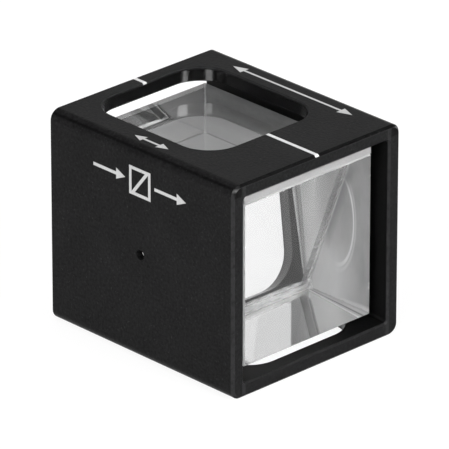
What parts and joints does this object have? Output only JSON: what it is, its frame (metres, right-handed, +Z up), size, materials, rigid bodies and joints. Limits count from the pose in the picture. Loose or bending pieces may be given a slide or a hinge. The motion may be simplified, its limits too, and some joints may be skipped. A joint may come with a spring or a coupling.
{
  "type": "glan-laser polarizer",
  "caption": "Square black metal housing around air-spaced wedge prisms, open at both ends, with offset escape windows above and below, for polarizing a laser beam.",
  "frame": {"origin": "middle of the housing, on the optical axis", "axes": "+X along the optical axis and out of the exit end, +Y across, +Z up, towards the face with the index line"},
  "size_m": [0.024, 0.021, 0.021],
  "materials": {
    "black_anodised_body": "matt black anodised",
    "calcite": "polished",
    "spacer_foil": "dull foil",
    "cured_silicone": "cured, translucent",
    "white_shim": "matt",
    "white_paint": "matt paint"
  },
  "bodies": {
    "root": {"housing": "black_anodised_body", "entrance_prism": "calcite", "exit_prism": "calcite", "gap_spacer_left": "spacer_foil", "gap_spacer_right": "spacer_foil", "side_bond_left": "cured_silicone", "side_bond_right": "cured_silicone", "exit_lip_shim": "white_shim", "entrance_lip_shim": "white_shim", "index_fill_front": "white_paint", "index_fill_rear": "white_paint"}
  },
  "joints": []
}
